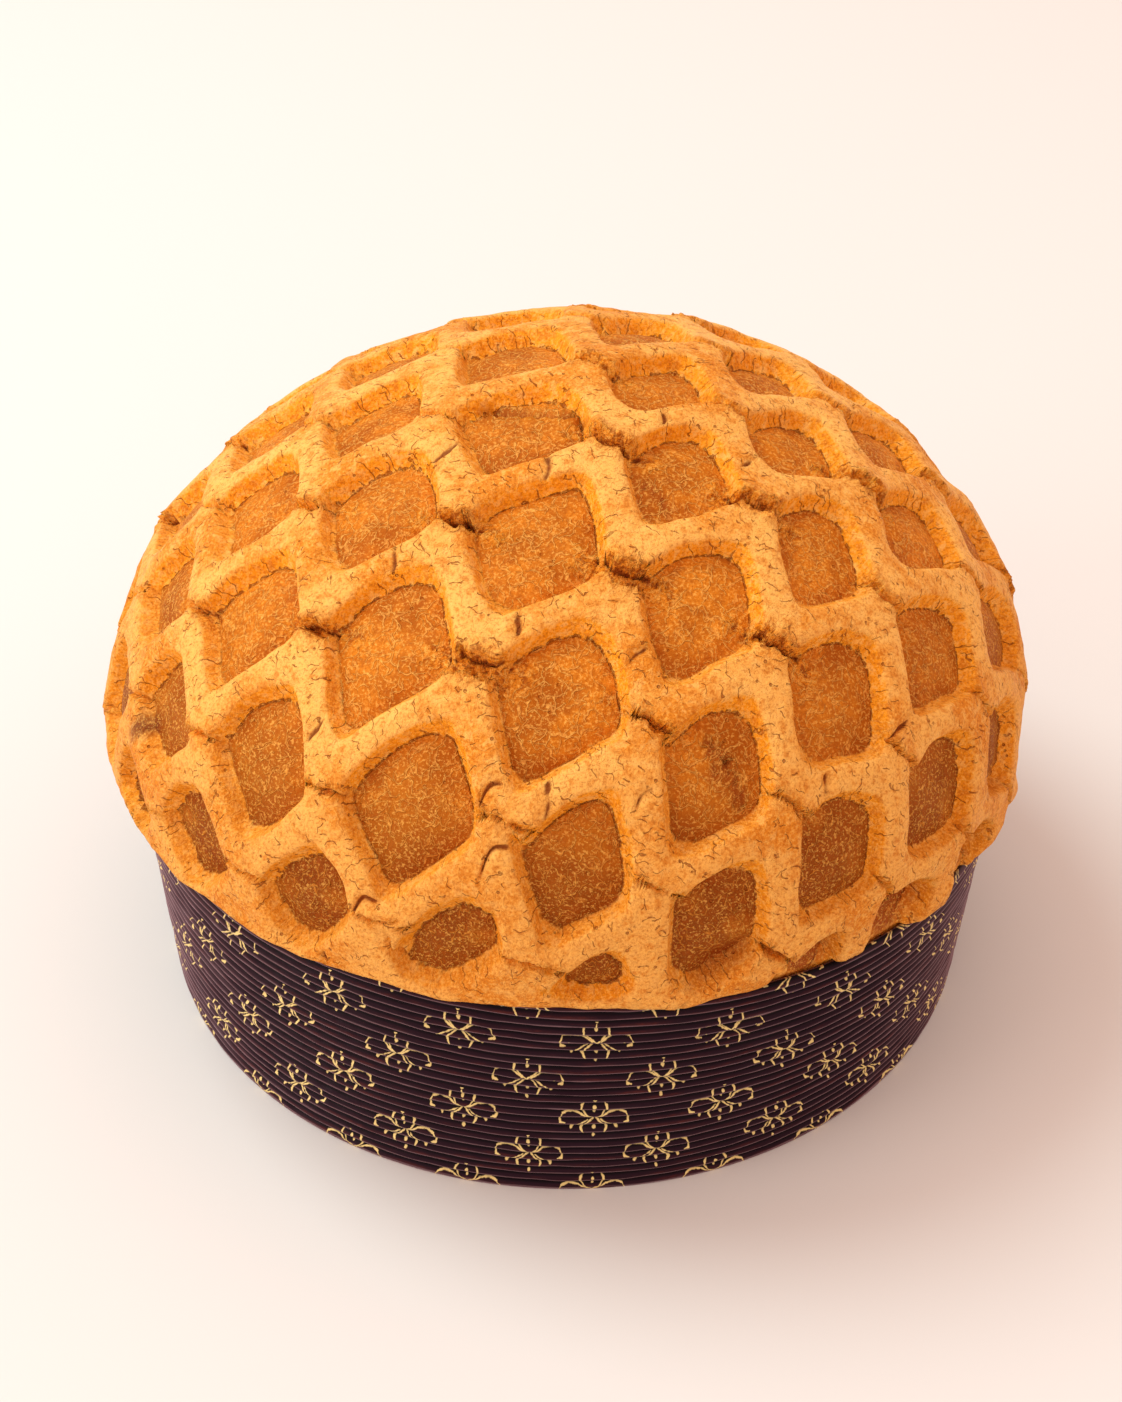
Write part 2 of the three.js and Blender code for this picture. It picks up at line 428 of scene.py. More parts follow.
# creases and flaps in the panels: ends on the map, half width, depth, all in millimetres
creases = [
    ((-22.0, -12.0), (-4.0, -17.0), 0.9, 2.2), ((-4.0, -17.0), (6.0, -24.0), 0.7, 1.4),
    ((31.0, -97.0), (38.0, -102.0), 0.9, 1.4), ((38.0, -102.0), (44.0, -110.0), 0.8, 1.0),
    ((33.0, -101.0), (36.0, -104.0), 0.7, 0.8), ((14.0, -36.0), (20.0, -43.0), 0.6, 0.7),
]

# cracks across the strips: lattice place, half length and half width in millimetres
cracks = [
    (-0.65, 2, 5.0, 0.8), (-2, 0.62, 3.5, 0.7), (-2, 1.86, 5.5, 0.7), (-1, 1.80, 4.0, 0.6),
    (-1, 2.16, 5.0, 0.6), (-0.42, 0, 4.5, 0.8), (1.35, 3, 3.5, 0.8), (2, 2.84, 4.5, 0.6),
    (-1.45, 0, 3.5, 0.7), (-0.70, 1, 3.0, 0.7), (-1, -0.60, 4.0, 0.6), (2.25, 0, 3.5, 0.7),
    (0.45, 0, 3.0, 0.6), (-2.5, 2, 3.0, 0.6), (0, 1.55, 3.5, 0.5), (1, 0.60, 3.5, 0.5),
    (-2, -0.45, 3.5, 0.5), (0.30, 4, 3.0, 0.6), (0, 2.45, 3.0, 0.5), (-3, 0.45, 3.0, 0.5),
]
crackDepth = 1.5
burn = {"centre": (-123.0, -62.0), "reach": 6.0, "depth": 1.2}

tearing = {
    "window": 0.55,            # a tear is shaped in this share of a cell on each side of its crossing
    "least": 0.5,              # width of a tear that isn't stated, and what chance adds to it
    "more": 1.6,
    "fullWidth": 2.2,          # from this width on, a tear goes right through the strip
    "bends": ((1.2, 5.5), (0.8, 1.9)),   # height and length of the bends of its line
    "widthBends": (0.4, 4.5),
    "ragged": (0.35, 0.75),    # height of its ragged edge, and what full width adds to it
    "raggedSize": 2.1,
    "reach": (15, 10),         # it fades out between these distances from the crossing
    "slot": (0.9, 0.5, 0.45),  # depth, place and width of the slot under its upper lip
    "dark": (0.7, 0.75),       # place and width of the painted shade inside it
    "shadeReach": (9.5, 7.0),
    "crumbs": ((1.7, 2.2), (0.5, 3.4)),  # heights and sizes of the crumbs at its edges
    "crumbsReach": 2.0,
    "lip": (0.9, -0.15),       # how much its upper and lower lips swell
    "lipReach": 5.0,
    "hang": 0.5,               # the upper lip hangs over by this much
}


def mapPlace(i, j):
    past = np.maximum(0, i - j - loaf["straightFrom"]) / 2
    p, q = i - past, j + past
    square = p * p + 2 * p * past
    cross = p * q + (q - p) * past
    other = q * q - 2 * q * past
    crowd = blendStep(loaf["crowdFrom"], loaf["crowdTo"], i)
    spots = [
        loaf["origin"][side] + loaf["along"][side] * i + loaf["across"][side] * j
        + loaf["bendAlong"][side] * square + loaf["twist"][side] * cross + loaf["bendAcross"][side] * other
        + loaf["crowdBy"][side] * crowd
        for side in (0, 1)
    ]
    for (nodeI, nodeJ), stray in strays.items():
        near = np.exp(-(np.square(i - nodeI) + np.square(j - nodeJ)) / loaf["strayReach"])
        spots = [spot + part * near for spot, part in zip(spots, stray)]
    return spots


def outlineTable():
    angle = np.linspace(math.pi / 2, 0, 400)
    rise = loaf["topHeight"] - loaf["bulgeHeight"]
    radius = loaf["bulgeRadius"] * np.cos(angle) ** loaf["radiusPower"]
    height = loaf["bulgeHeight"] + rise * np.sin(angle) ** loaf["heightPower"]
    arc = np.concatenate([[0], np.cumsum(np.hypot(np.diff(radius), np.diff(height)))])
    outR = -np.gradient(height, arc)
    outZ = np.gradient(radius, arc)
    size = np.hypot(outR, outZ)
    return arc, radius, height, outR / size, outZ / size


outline = outlineTable()
domeLength = outline[0][-1]
neckTop = mould["rimHeight"] + loaf["rimGap"]
neckRadius = crestRadius(mould["rimHeight"]) - mould["paper"] - loaf["neckGap"]


# place and outward direction of the smooth dome for points of the flat map
def surface(mapX, mapY):
    arc = np.hypot(mapX, mapY)
    turn = np.arctan2(mapX, -mapY)
    radius, height, outR, outZ = (np.interp(arc, outline[0], column) for column in outline[1:])
    under = np.clip((arc - domeLength) / loaf["underLength"], 0, 1) * math.pi / 2
    below = np.maximum(0, arc - domeLength - loaf["underLength"])
    rim = neckTop + rimOffset(turn)
    neckHeight = loaf["bulgeHeight"] - (loaf["bulgeHeight"] - rim) * np.sin(under) - below
    isUnder = arc > domeLength
    radius = np.where(isUnder, neckRadius + (loaf["bulgeRadius"] - neckRadius) * np.cos(under), radius)
    height = np.where(isUnder, neckHeight, height)
    outR = np.where(isUnder, np.cos(under), outR)
    outZ = np.where(isUnder, -np.sin(under), outZ)
    rise = np.clip((height - loaf["bulgeHeight"]) / (loaf["topHeight"] - loaf["bulgeHeight"]), 0, 1)
    over = np.cos(under)
    shift = [
        (loaf["bulgeShift"][side] + (loaf["topShift"][side] - loaf["bulgeShift"][side]) * rise) * over
        for side in (0, 1)
    ]
    sine, cosine = np.sin(turn), -np.cos(turn)
    place = np.stack([shift[0] + radius * sine, shift[1] + radius * cosine, height], axis=-1)
    outward = np.stack([outR * sine, outR * cosine, outZ], axis=-1)
    return place, outward, arc, turn


# lines of the mesh across the cells: closest on the walls of the strips, widest on the panels
def gridLines(reach, front):
    spot = np.linspace(0, 1, 2001)
    away = np.abs(spot - np.round(spot))
    onTop, onWall, onPanel = loaf["lineSpacing"]
    spacing = np.where(away < loaf["topShare"], onTop, np.where(away < loaf["footShare"], onWall, onPanel))
    total = np.concatenate([[0], np.cumsum(1 / spacing)[:-1]])
    total /= total[-1] + 1 / spacing[-1]
    lines = []
    for cell in range(*reach):
        count = loaf["linesInFront"] if front[0] <= cell < front[1] else loaf["linesBehind"]
        lines.append(cell + np.interp(np.arange(count) / count, total, spot))
    return np.concatenate(lines)


# how far a strip is carried at each point along it; part runs from 0 to 1 between its crossings
def carried(table, fallback, nodeI, nodeJ, part):
    first, last = -9, 11
    known = np.array([[table.get((a, b), fallback) for b in range(first, last)]
                      for a in range(first, last)])
    ends = known[np.clip(nodeI - first, 0, last - first - 1), np.clip(nodeJ - first, 0, last - first - 1)]
    share = blendStep(0.1, 0.9, part)
    inside = blendStep(0, 0.17, part) * blendStep(1, 0.83, part)
    return (ends[..., 0] * (1 - share) + ends[..., 1] * share) * inside


# lattice numbers with the strips between the crossings carried up and aside
def bent(i, j):
    lowI, lowJ = np.floor(i).astype(int), np.floor(j).astype(int)
    partI, partJ = i - lowI, j - lowJ
    towardsFoot = blendStep(0.1, 0.9, partJ)
    towardsRight = blendStep(0.1, 0.9, partI)
    up = carried(rises, loaf["rise"], lowI, lowJ, partI) * (1 - towardsFoot)
    up += carried(rises, loaf["rise"], lowI, lowJ + 1, partI) * towardsFoot
    right = carried(drifts, loaf["drift"], lowI, lowJ, partJ) * (1 - towardsRight)
    right += carried(drifts, loaf["drift"], lowI + 1, lowJ, partJ) * towardsRight
    return i + right / loaf["cell"], j - up / loaf["cell"]


def opening(nodeI, nodeJ):
    chance = (math.sin(nodeI * 12.9 + nodeJ * 78.2) * 43758.5) % 1
    return tears.get((nodeI, nodeJ), tearing["least"] + tearing["more"] * chance ** 2)


def toSegment(x, y, start, end):
    alongX, alongY = end[0] - start[0], end[1] - start[1]
    share = ((x - start[0]) * alongX + (y - start[1]) * alongY) / (alongX ** 2 + alongY ** 2)
    share = np.clip(share, 0, 1)
    return np.hypot(x - start[0] - share * alongX, y - start[1] - share * alongY)


def smoothLeast(first, second, reach):
    share = np.maximum(reach - np.abs(first - second), 0) / reach
    return np.minimum(first, second) - share * share * reach / 4


def unit(vector):
    return vector / np.maximum(np.linalg.norm(vector, axis=-1, keepdims=True), 1e-9)


# 1 where there is no hem and the strips run on down to the rim
def withoutHem(turn):
    share = blendStep(loaf["hemFrom"] - 0.08, loaf["hemFrom"], turn)
    return share * blendStep(loaf["hemTo"] + 0.12, loaf["hemTo"], turn)


# distance in millimetres from the middle of the nearest strip, with its corners rounded
def stripDistance(i, j, lineI, lineJ, place):
    alongI = np.gradient(place, lineI, axis=0)
    alongJ = np.gradient(place, lineJ, axis=1)
    area = np.linalg.norm(np.cross(alongI, alongJ), axis=-1)
    offI, offJ = i - np.round(i), j - np.round(j)
    distanceI = offI * area / np.maximum(np.linalg.norm(alongJ, axis=-1), 1e-6)
    distanceJ = offJ * area / np.maximum(np.linalg.norm(alongI, axis=-1), 1e-6)
    distanceI = np.abs(distanceI) - loaf["wider"]
    distanceJ = np.abs(distanceJ)
    left = np.where(distanceJ < distanceI, loaf["leftCorner"], loaf["rightCorner"])
    corner = np.where(offI > 0, np.where(offJ > 0, left, loaf["footCorner"]),
                      np.where(offJ > 0, loaf["topCorner"], loaf["rightCorner"]))
    return smoothLeast(distanceI, distanceJ, corner)


# opens one crossing: sheet holds the places of the dome, marks what the tears add up to
def tearCrossing(nodeI, nodeJ, lineI, lineJ, sheet, marks):
    nearI = np.where(np.abs(lineI - nodeI) < tearing["window"])[0]
    nearJ = np.where(np.abs(lineJ - nodeJ) < tearing["window"])[0]
    if not len(nearI) or not len(nearJ):
        return
    part = np.ix_(nearI, nearJ)
    middle = (nearI[np.abs(lineI[nearI] - nodeI).argmin()], nearJ[np.abs(lineJ[nearJ] - nodeJ).argmin()])
    if sheet["arc"][middle] > sheet["hemEdge"][middle]:
        return
    direction = unit(sheet["evenI"][middle] + sheet["evenJ"][middle])
    sideways = np.cross(sheet["outward"][middle], direction)
    spots = sheet["place"][part]
    offset = spots - sheet["place"][middle]
    run = offset @ direction
    rise = offset @ sideways
    seed = nodeI * 31 + nodeJ * 7
    width = opening(nodeI, nodeJ)
    strong = min(1.0, width / tearing["fullWidth"])

    (longHigh, longSize), (shortHigh, shortSize) = tearing["bends"]
    line = longHigh * waves(run, longSize, seed) + shortHigh * waves(run, shortSize, seed + 1)
    half = width / 2 * (0.85 + tearing["widthBends"][0] * waves(run, tearing["widthBends"][1], seed + 2))
    ragged = tearing["ragged"][0] + tearing["ragged"][1] * strong
    ragged = ragged * lumps(spots, tearing["raggedSize"], seed + 3)
    above = rise - line - half + ragged
    below = line - half - rise + ragged
    gap = np.maximum(above, below)
    reach = blendStep(*tearing["reach"], np.abs(run))
    depth = (0.3 + 0.7 * strong) * reach
    marks["raised"][part] *= 1 - depth * (1 - blendStep(-0.15, 0.6, gap))

    slotDepth, slotPlace, slotWidth = tearing["slot"]
    slot = np.exp(-np.square((above + slotPlace) / slotWidth)) * (gap < 0.4)
    marks["cleft"][part] -= depth * slotDepth * strong * slot
    # painted shade inside the tear, just under its upper lip
    shadePlace, shadeWidth = tearing["dark"]
    dark = depth * np.exp(-np.square((above + shadePlace) / shadeWidth)) * blendStep(0.9, 0.2, gap)
    dark = dark * blendStep(*tearing["shadeReach"], np.abs(run))
    marks["shadeInCleft"][part] = np.maximum(marks["shadeInCleft"][part], dark)

    near = reach * strong * np.exp(-np.square(np.maximum(gap, 0) / tearing["crumbsReach"]))
    marks["tear"][part] = np.maximum(marks["tear"][part], near)
    (fineHigh, fineSize), (coarseHigh, coarseSize) = tearing["crumbs"]
    crumbs = fineHigh * np.abs(lumps(spots, fineSize, seed + 4))
    crumbs = crumbs + coarseHigh * lumps(spots, coarseSize, seed + 5) - 0.2
    marks["cleft"][part] += near * crumbs * (0.35 + 0.65 * (gap > -0.6))
    swell = reach * strong * np.exp(-np.square(np.maximum(gap, 0) / tearing["lipReach"]))
    marks["lip"][part] += swell * np.where(rise > line, *tearing["lip"])
    marks["hang"][part] -= (near * (above > -0.3))[..., None] * tearing["hang"] * sideways


def addCracks(i, j, lineI, lineJ, marks):
    for number, (crackI, crackJ, halfLength, halfWidth) in enumerate(cracks):
        offI = i - lineI[np.abs(lineI - crackI).argmin()]
        offJ = j - lineJ[np.abs(lineJ - crackJ).argmin()]
        along, across = (offJ, offI) if crackJ == round(crackJ) else (offI, offJ)
        along, across = along * loaf["cell"], across * loaf["cell"]
        across = across + 0.9 * waves(along, 4.0, number + 50) + 0.5 * waves(along, 1.6, number + 90)
        mark = np.exp(-np.square(across / halfWidth)) * blendStep(halfLength, halfLength / 2, np.abs(along))
        mark = mark * marks["raised"]
        marks["cleft"] -= crackDepth * mark
        # painted shade inside the crack
        marks["shadeInCleft"] = np.maximum(marks["shadeInCleft"], mark)


# height that the creases and the burnt blister add to the panels, with their masks; the creases' mask is
# painted shade
def panelFaults(mapX, mapY, flat, panels):
    lift = np.zeros_like(panels)
    creaseShade = np.zeros_like(panels)
    for start, end, half, depth in creases:
        away = toSegment(mapX, mapY, start, end) + ripples(flat, uneven["crease"])
        mark = np.exp(-np.square(away / half)) * panels
        fold = np.exp(-np.square((away - 2 * half) / (1.2 * half))) * panels
        lift += depth * (0.5 * fold - mark)
        creaseShade = np.maximum(creaseShade, mark)
    spot = np.hypot(mapX - burn["centre"][0], mapY - burn["centre"][1]) + ripples(flat, uneven["burn"])
    burnt = blendStep(burn["reach"], burn["reach"] / 4, spot)
    lift += burn["depth"] * burnt * panels
    return lift, creaseShade, burnt


# places of the crust and the masks that its material reads, for the grid of lattice numbers
def shapeLoaf(i, j, lineI, lineJ):
    even = surface(*mapPlace(i, j))[0]
    mapX, mapY = mapPlace(*bent(i, j))
    flat = np.stack([mapX, mapY, np.zeros_like(mapX)], axis=-1)
    mapX = mapX + ripples(flat, uneven["mapX"])
    mapY = mapY + ripples(flat, uneven["mapY"])
    place, outward, arc, turn = surface(mapX, mapY)
    bareShare = withoutHem(turn)
    hemEdge = domeLength - loaf["hemInside"] + ripples(place, uneven["hem"]) + loaf["hemLength"] * bareShare
    distance = stripDistance(i, j, lineI, lineJ, place)
    distance = smoothLeast(distance, np.maximum(0, hemEdge - arc), loaf["hemCorner"])
    distance = distance + ripples(place, uneven["edge"])
    fall = np.clip((distance - loaf["stripTop"]) / (loaf["stripFoot"] - loaf["stripTop"]), 0, 1)

    sheet = {
        "place": place, "outward": outward, "arc": arc, "hemEdge": hemEdge,
        "evenI": np.gradient(even, lineI, axis=0), "evenJ": np.gradient(even, lineJ, axis=1),
    }
    marks = {name: np.zeros_like(arc) for name in ("tear", "shadeInCleft", "lip", "cleft")}
    marks["hang"] = np.zeros_like(place)
    marks["raised"] = 1 - blendStep(0, 1, fall ** 1.15)
    for nodeI in range(loaf["rangeI"][0], loaf["rangeI"][1]):
        for nodeJ in range(loaf["rangeJ"][0], loaf["rangeJ"][1]):
            tearCrossing(nodeI, nodeJ, lineI, lineJ, sheet, marks)
    addCracks(i, j, lineI, lineJ, marks)

    raised = marks["raised"]
    crown = 0.35 * (1 - np.clip(distance / loaf["stripTop"], 0, 1) ** 2)
    lift = loaf["stripHeight"] * (raised - 1) + crown * raised + marks["lip"] * raised + marks["cleft"]
    lift += 0.9 * blendStep(loaf["stripFoot"], loaf["stripFoot"] + 7, distance)
    lift += ripples(place, uneven["crust"]) + (0.3 + 0.7 * raised) * ripples(place, uneven["grain"])
    fade = blendStep(domeLength + loaf["underLength"], domeLength + loaf["underLength"] * 0.6, arc)
    bare = bareShare * (1 - raised) * blendStep(domeLength - 12, domeLength - 4, arc)
    skirt = blendStep(domeLength - 2, domeLength + 5, arc)
    groove = np.exp(-np.square((distance - loaf["stripFoot"] - 0.2) / 0.35)) * (1 - bareShare)
    lift += skirt * (0.7 + ripples(place, uneven["skirt"]))
    lift -= loaf["bareDepth"] * bare + loaf["footGroove"] * groove
    faultLift, creaseShade, burnt = panelFaults(mapX, mapY, flat, 1 - raised)
    place = place + outward * (lift * fade + faultLift)[..., None] + marks["hang"]
    masks = {
        "stripDistance": distance, "raised": raised, "tear": marks["tear"],
        # painted shade in the creases and in the sunken bare recess at the rim
        "creaseShade": np.maximum(creaseShade, 0.75 * bare), "burnt": burnt, "shadeInCleft": marks["shadeInCleft"],
    }
    return place, masks, arc, mapX, mapY


def makeLoafMesh():
    lineI = gridLines(loaf["rangeI"], loaf["frontI"])
    lineJ = gridLines(loaf["rangeJ"], loaf["frontJ"])
    i, j = np.meshgrid(lineI, lineJ, indexing="ij")
    place, masks, arc, mapX, mapY = shapeLoaf(i, j, lineI, lineJ)
    bm = bmesh.new()
    bmesh.ops.create_grid(bm, x_segments=len(lineI) - 1, y_segments=len(lineJ) - 1, size=0.5)
    grid = bpy.data.meshes.new("loafGrid")
    bm.to_mesh(grid)
    bm.free()
    spots = np.empty(len(grid.vertices) * 3)
    grid.vertices.foreach_get("co", spots)
    spots = spots.reshape(-1, 3)
    stepI = np.round((spots[:, 0] + 0.5) * (len(lineI) - 1)).astype(int)
    stepJ = np.round((0.5 - spots[:, 1]) * (len(lineJ) - 1)).astype(int)
    grid.vertices.foreach_set("co", (place[stepI, stepJ] * mm).ravel())
    for name, values in {**masks, "arc": arc}.items():
        layer = grid.attributes.new(name, "FLOAT", "POINT")
        layer.data.foreach_set("value", values[stepI, stepJ])
    corners = np.empty(len(grid.loops), dtype=np.int32)
    grid.loops.foreach_get("vertex_index", corners)
    flatPlace = np.stack([mapX, mapY], axis=-1)[stepI, stepJ][corners] * mm
    grid.uv_layers.new(name="flatPlace").data.foreach_set("uv", flatPlace.ravel())
    numbers = np.stack([lineI[stepI[corners]], lineJ[stepJ[corners]]], axis=-1)
    grid.uv_layers.new(name="lattice").data.foreach_set("uv", numbers.ravel())

    bm = bmesh.new()
    bm.from_mesh(grid)
    arcLayer = bm.verts.layers.float["arc"]
    lastArc = domeLength + loaf["underLength"] + 3
    outside = [vert for vert in bm.verts if vert[arcLayer] > lastArc]
    bmesh.ops.delete(bm, geom=outside, context="VERTS")
    closeLoaf(bm)
    bmesh.ops.recalc_face_normals(bm, faces=bm.faces[:])
    mesh = bpy.data.meshes.new("loaf")
    bm.to_mesh(mesh)
    bm.free()
    bpy.data.meshes.remove(grid)
    mesh.attributes.remove(mesh.attributes["arc"])
    return mesh


def extrudeRim(bm):
    rim = [edge for edge in bm.edges if edge.is_boundary]
    made = bmesh.ops.extrude_edge_only(bm, edges=rim)["geom"]
    return [item for item in made if isinstance(item, bmesh.types.BMVert)]


# carries the cut edge of the dome down inside the mould and closes it underneath
def closeLoaf(bm):
    neckMiddle = mould["rimHeight"] / 2
    neckBottom = mould["hemTop"] + mould["gap"]
    hemRadius = mould["baseRadius"] - mould["lip"] - mould["hemWidth"] - mould["gap"]
    underside = baseHigh.z / mm + mould["gap"]
    rings = [
        (crestRadius(neckMiddle) - loaf["insideWall"], neckMiddle),
        (crestRadius(neckBottom) - loaf["insideWall"], neckBottom),
        (hemRadius, neckBottom),
        (loaf["undersideRadius"], underside),
    ]
    for radius, height in rings:
        for vert in extrudeRim(bm):
            turn = math.atan2(vert.co.x, -vert.co.y)
            vert.co = Vector((radius * math.sin(turn), -radius * math.cos(turn), height)) * mm
    bmesh.ops.pointmerge(bm, verts=extrudeRim(bm), merge_co=Vector((0, 0, underside)) * mm)


# scattered short curved strokes, one to each cell of a flat scatter; sizes in millimetres
def strokeGroup():
    group, given, out = newGroup("scatteredStrokes", [
        ("Place", "NodeSocketVector", None), ("Spacing", "NodeSocketFloat", 2.4),
        ("Length", "NodeSocketFloat", 1.4), ("Width", "NodeSocketFloat", 0.3),
        ("Bend", "NodeSocketFloat", 0.5), ("Aim", "NodeSocketFloat", 0.0),
        ("Spread", "NodeSocketFloat", 6.28), ("Share", "NodeSocketFloat", 1.0),
    ], [("Stroke", "NodeSocketFloat"), ("Chance", "NodeSocketFloat")])
    flat = scaledVector(group, given["Place"], 1 / mm)
    cells = group.nodes.new("ShaderNodeTexVoronoi")
    cells.voronoi_dimensions = "2D"
    group.links.new(flat, cells.inputs["Vector"])
    group.links.new(maths(group, "DIVIDE", 1.0, given["Spacing"]), cells.inputs["Scale"])
    apart = group.nodes.new("ShaderNodeSeparateXYZ")
    group.links.new(vectorMaths(group, "SUBTRACT", flat, cells.outputs["Position"]), apart.inputs[0])
    chance = group.nodes.new("ShaderNodeSeparateColor")
    group.links.new(cells.outputs["Color"], chance.inputs[0])
    angle = maths(group, "MULTIPLY_ADD", maths(group, "SUBTRACT", chance.outputs[0], 0.5),
                  given["Spread"], given["Aim"])
    sine = maths(group, "SINE", angle)
    cosine = maths(group, "COSINE", angle)
    x, y = apart.outputs[:2]
    along = maths(group, "ADD", maths(group, "MULTIPLY", x, cosine), maths(group, "MULTIPLY", y, sine))
    aside = maths(group, "SUBTRACT", maths(group, "MULTIPLY", y, cosine), maths(group, "MULTIPLY", x, sine))
    bend = maths(group, "MULTIPLY_ADD", chance.outputs[1], 2.0, -1.0)
    bend = maths(group, "MULTIPLY", bend, given["Bend"])
    curved = maths(group, "MULTIPLY", bend, maths(group, "POWER", along, 2.0))
    aside = maths(group, "SUBTRACT", aside, curved)
    half = maths(group, "MULTIPLY", given["Width"], 0.5)
    line = ramp(group, maths(group, "ABSOLUTE", aside), half, maths(group, "MULTIPLY", half, 0.3))
    reach = maths(group, "MULTIPLY", given["Length"], 0.5)
    ends = ramp(group, maths(group, "ABSOLUTE", along), reach, maths(group, "MULTIPLY", reach, 0.75))
    picked = maths(group, "LESS_THAN", chance.outputs[2], given["Share"])
    group.links.new(maths(group, "MULTIPLY", maths(group, "MULTIPLY", line, ends), picked), out["Stroke"])
    group.links.new(chance.outputs[2], out["Chance"])
    return group


crust = {
    "stripLight": (0.95, 0.49, 0.11, 1),
    "stripDark": (0.76, 0.25, 0.018, 1),
    "stripFleckLight": (0.97, 0.54, 0.14, 1),
    "stripFleckDark": (0.64, 0.185, 0.012, 1),
    "stripShadedLow": (0.58, 0.17, 0.008, 1),
    "sideLit": (0.88, 0.34, 0.030, 1),
    "sideShaded": (0.93, 0.335, 0.010, 1),
    "panelLight": (0.70, 0.215, 0.011, 1),
    "panelDark": (0.42, 0.100, 0.003, 1),
    "panelFleck": (0.34, 0.070, 0.004, 1),
    "panelShadedLow": (0.17, 0.031, 0.001, 1),
    "torn": (0.84, 0.27, 0.014, 1),
    "crumbLight": (1.0, 0.50, 0.09, 1),
    "crumbDark": (0.33, 0.062, 0.004, 1),
    "creaseShade": (0.30, 0.050, 0.006, 1),
    "burnt": (0.10, 0.022, 0.014, 1),
    "fibre": (0.95, 0.47, 0.10, 1),
    "fibreShadedLow": (0.72, 0.27, 0.030, 1),
    "shadedFootLine": (0.18, 0.027, 0.004, 1),
    "shadedPits": (0.34, 0.062, 0.006, 1),
    "grainHighlight": (1.0, 0.54, 0.11, 1),
    "grainDark": (0.42, 0.11, 0.006, 1),
    "cleftShade": (0.20, 0.026, 0.002, 1),
    "lowShadeFrom": 0.131,    # painted shade: the crust is painted darker low down, between these heights in metres
    "lowShadeTo": 0.080,
    "wander": 2.6,           # the fibres wind about by this much, in millimetres
    # shift and spacing of each layer of fibres, and of slits with the share of places that have one
    "fibres": ((0, 0, 5.6), (31.7, 12.9, 4.9), (67.1, 48.3, 6.6), (11.3, 83.9, 3.9), (53.1, 23.3, 5.2)),
    "slits": ((5.0, 3.0, 5.2, 0.5), (41.0, 17.0, 3.2, 0.3), (23.0, 61.0, 8.0, 0.6)),
}


def shifted(tree, place, x, y):
    return vectorMaths(tree, "ADD", place, (x * mm, y * mm, 0))


def uvPlace(tree, name):
    node = tree.nodes.new("ShaderNodeUVMap")
    node.uv_map = name
    return node.outputs[0]


def fibreMask(tree, strokes, curly):
    fibres = 0.0
    for x, y, spacing in crust["fibres"]:
        layer = useGroup(tree, strokes, Place=shifted(tree, curly, x, y), Spacing=spacing,
                         Length=spacing * 0.85, Width=0.62, Bend=0.45, Share=0.9)
        strength = maths(tree, "MULTIPLY_ADD", layer["Chance"], 0.6, 0.5)
        fibres = maths(tree, "MAXIMUM", fibres, maths(tree, "MULTIPLY", layer["Stroke"], strength))
    return fibres


def slitMask(tree, strokes, curly, aim):
    slits = 0.0
    for x, y, spacing, share in crust["slits"]:
        layer = useGroup(tree, strokes, Place=shifted(tree, curly, x, y), Spacing=spacing,
                         Length=spacing * 0.5, Width=0.3, Bend=0.3, Aim=aim, Spread=1.5, Share=share)
        slits = maths(tree, "MAXIMUM", slits, layer["Stroke"])
    return slits


# which way the strips run at a place, and 1 on the sides of them that are turned from the light
def stripSides(tree):
    numbers = tree.nodes.new("ShaderNodeSeparateXYZ")
    tree.links.new(uvPlace(tree, "lattice"), numbers.inputs[0])
    off = [maths(tree, "SUBTRACT", number, maths(tree, "ROUND", number)) for number in numbers.outputs[:2]]
    away = [maths(tree, "ABSOLUTE", number) for number in off]
    aim = maths(tree, "MULTIPLY", maths(tree, "GREATER_THAN", away[0], away[1]), 2.14)
    besideStrip = maths(tree, "MULTIPLY", maths(tree, "LESS_THAN", away[0], away[1]),
                        ramp(tree, off[0], 0.02, -0.06))
    underStrip = maths(tree, "MULTIPLY", maths(tree, "LESS_THAN", away[1], away[0]),
                       ramp(tree, off[1], -0.02, 0.06))
    return aim, maths(tree, "MAXIMUM", besideStrip, underStrip)


# puts a named colour of the crust over another, by a mask and a share of it
def laid(tree, under, name, mask, share=1.0):
    if share != 1.0:
        mask = maths(tree, "MULTIPLY", mask, share)
    return tint(tree, mask, under, crust[name])


def stripColour(tree, soft, mottle, shadeLowDown, shadeSide):
    top = tint(tree, ramp(tree, soft, 0.36, 0.58), crust["stripDark"], crust["stripLight"])
    side = tint(tree, shadeSide, crust["sideLit"], crust["sideShaded"])
    colour = tint(tree, ramp(tree, attribute(tree, "raised"), 0.8, 1.0), side, top)
    colour = laid(tree, colour, "stripFleckLight", ramp(tree, mottle, 0.50, 0.66, 0.0, 0.65))
    colour = laid(tree, colour, "stripFleckDark", ramp(tree, mottle, 0.48, 0.34, 0.0, 0.65))
    return laid(tree, colour, "stripShadedLow", shadeLowDown, 0.35)


def panelColour(tree, patch, mottle, shadeLowDown):
    colour = tint(tree, ramp(tree, patch, 0.36, 0.66), crust["panelLight"], crust["panelDark"])
    colour = laid(tree, colour, "panelShadedLow", shadeLowDown, 0.88)
    return laid(tree, colour, "panelFleck", ramp(tree, mottle, 0.42, 0.7, 0.0, 0.5))


